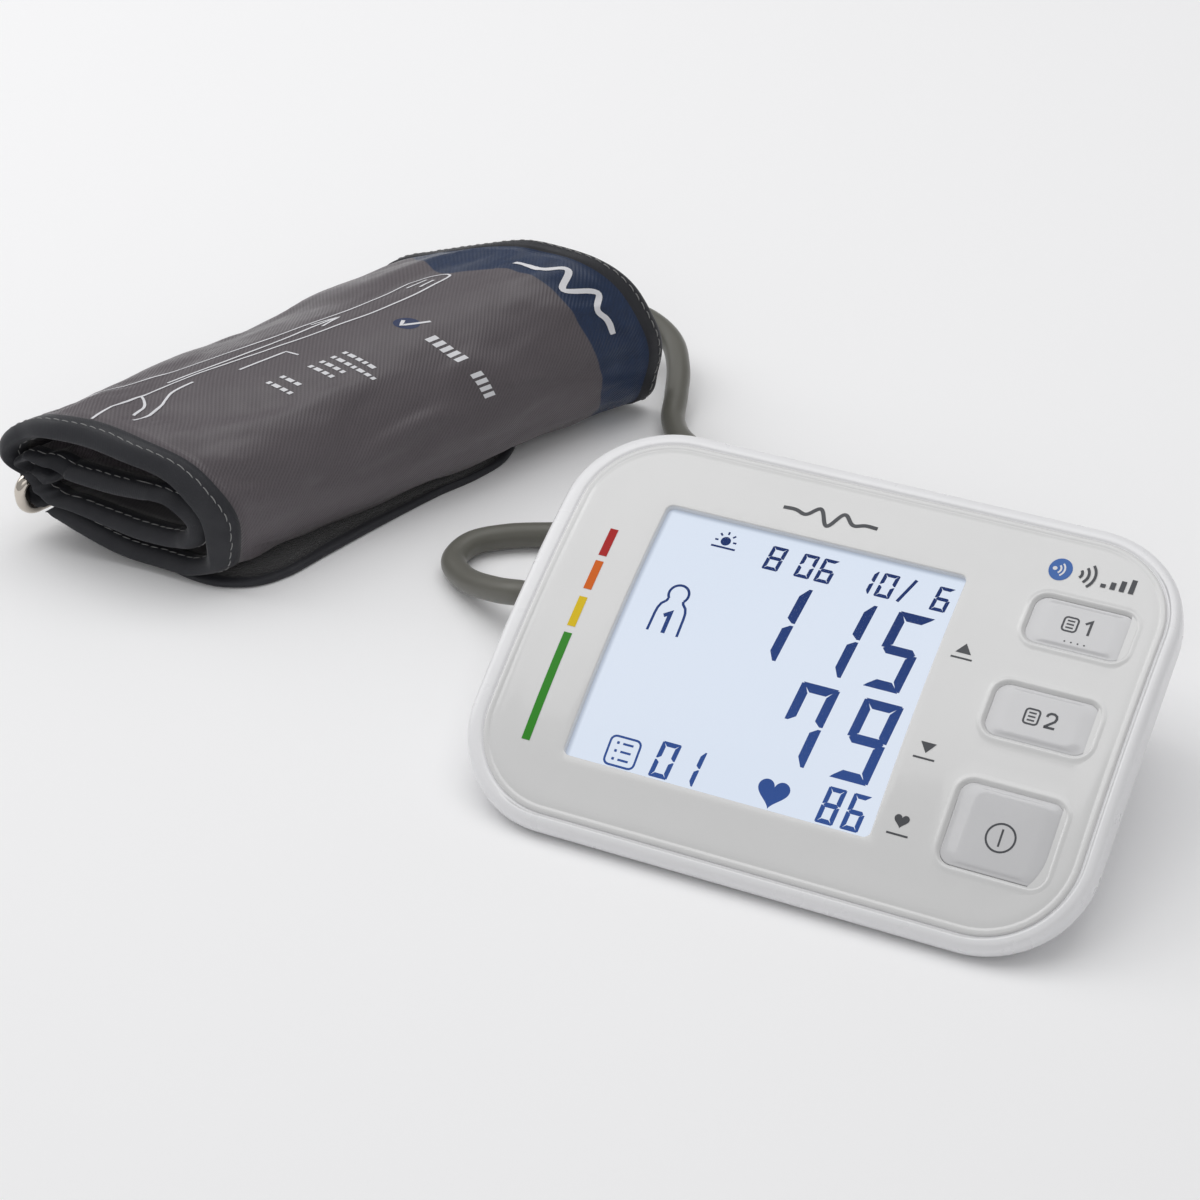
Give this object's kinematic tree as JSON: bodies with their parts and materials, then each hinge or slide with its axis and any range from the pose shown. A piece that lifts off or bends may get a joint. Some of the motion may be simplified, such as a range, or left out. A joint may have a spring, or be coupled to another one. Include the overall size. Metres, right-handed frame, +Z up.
{
  "type": "upper arm blood pressure monitor",
  "caption": "Tabletop upper arm blood pressure monitor with a sloping display console, rolled arm cuff and connecting air hose",
  "frame": {"origin": "bottom centre of the box around the console and cuff, on the table, without the hose, its plug and the hose port", "axes": "+X along the width of the console, left to right for the user; +Y away from the user, to the rear; +Z up from the table"},
  "size_m": [0.2792, 0.177, 0.045],
  "materials": {
    "white_shell": "white moulded ABS, fine satin texture",
    "face_panel": "pale grey, high gloss",
    "key_cap": "pale grey, high gloss, soft edges",
    "clear_window": "clear acrylic, polished",
    "display_glass": "backlit liquid crystal glass, pale blue with dark blue segments",
    "light_guide": "white diffuser",
    "contact_rubber": "striped elastomer contact strip",
    "circuit_board": "glass-fibre board with green solder mask",
    "black_plastic": "black moulded plastic",
    "grey_plastic": "grey moulded plastic",
    "steel": "plated steel",
    "brass": "turned brass",
    "silicone": "translucent silicone",
    "foot_rubber": "grey rubber",
    "cell_wrap": "plain printed sleeve",
    "hose_rubber": "grey-olive rubber hose, satin",
    "cuff_nylon": "taupe-grey twill nylon with charcoal binding, navy band and pale stitching",
    "bladder_film": "polyurethane film bladder",
    "cuff_lining": "black brushed loop fabric",
    "nickel_ring": "nickel-plated wire, polished"
  },
  "bodies": {
    "monitor": {"upper_housing": "white_shell", "face_panel": "face_panel", "display_window": "clear_window", "lcd_glass": "display_glass", "backlight_guide": "light_guide", "display_contact_strip": "contact_rubber", "display_frame": "white_shell", "main_board": "circuit_board", "switch_memory_1": "steel", "switch_memory_2": "steel", "switch_start_stop": "steel", "controller_chip": "black_plastic", "wireless_module": "steel", "pressure_sensor": "black_plastic", "lower_housing": "white_shell", "housing_screw_1": "steel", "housing_screw_2": "steel", "housing_screw_3": "steel", "housing_screw_4": "steel", "rubber_foot_1": "foot_rubber", "rubber_foot_2": "foot_rubber", "rubber_foot_3": "foot_rubber", "rubber_foot_4": "foot_rubber", "battery_cell_1": "cell_wrap", "battery_cell_2": "cell_wrap", "battery_cell_3": "cell_wrap", "battery_cell_4": "cell_wrap", "battery_contact_strip": "steel", "battery_spring_strip": "steel", "pump_motor": "steel", "pump_head": "black_plastic", "pump_diaphragm": "silicone", "pump_cover": "black_plastic", "pump_cradle": "silicone", "air_socket": "grey_plastic", "valve_body": "steel", "air_manifold": "black_plastic", "air_line_socket": "silicone", "air_line_pump": "silicone", "air_line_valve": "silicone", "air_hose": "hose_rubber", "hose_plug": "grey_plastic", "cuff_cover": "cuff_nylon", "cuff_bladder": "bladder_film", "cuff_lining": "cuff_lining", "cuff_hook_flap": "cuff_lining", "cuff_bar_ring": "nickel_ring", "cuff_tail_fold": "cuff_nylon", "cuff_hose_port": "grey_plastic"},
    "key_memory_1": {"key_memory_1": "key_cap"},
    "key_memory_2": {"key_memory_2": "key_cap"},
    "key_start_stop": {"key_start_stop": "key_cap"},
    "battery_door": {"battery_door": "white_shell"},
    "pump_crank": {"pump_crank": "brass"},
    "valve_plunger": {"valve_plunger": "brass"}
  },
  "joints": [
    {"name": "press_memory_1", "type": "slide", "parent": "monitor", "child": "key_memory_1", "axis": [0, 0.3257, -0.9455], "range_m": [0, 0.0008], "stiffness_N_per_m": 800, "springref_m": -0.0008},
    {"name": "press_memory_2", "type": "slide", "parent": "monitor", "child": "key_memory_2", "axis": [0, 0.4095, -0.9123], "range_m": [0, 0.0008], "stiffness_N_per_m": 800, "springref_m": -0.0008},
    {"name": "press_start_stop", "type": "slide", "parent": "monitor", "child": "key_start_stop", "axis": [0, 0.5021, -0.8648], "range_m": [0, 0.0008], "stiffness_N_per_m": 800, "springref_m": -0.0008},
    {"name": "battery_door_hinge", "type": "hinge", "parent": "monitor", "child": "battery_door", "pos_m": [0.04814, -0.00081, 0.001], "axis": [1, 0, 0], "range_deg": [0, 80]},
    {"name": "pump_turn", "type": "hinge", "parent": "monitor", "child": "pump_crank", "pos_m": [0.09814, -0.01051, 0.0136], "axis": [1, 0, 0], "continuous": true},
    {"name": "valve_stroke", "type": "slide", "parent": "monitor", "child": "valve_plunger", "axis": [-1, 0, 0], "range_m": [0, 0.0012], "stiffness_N_per_m": 200, "springref_m": -0.0008}
  ]
}
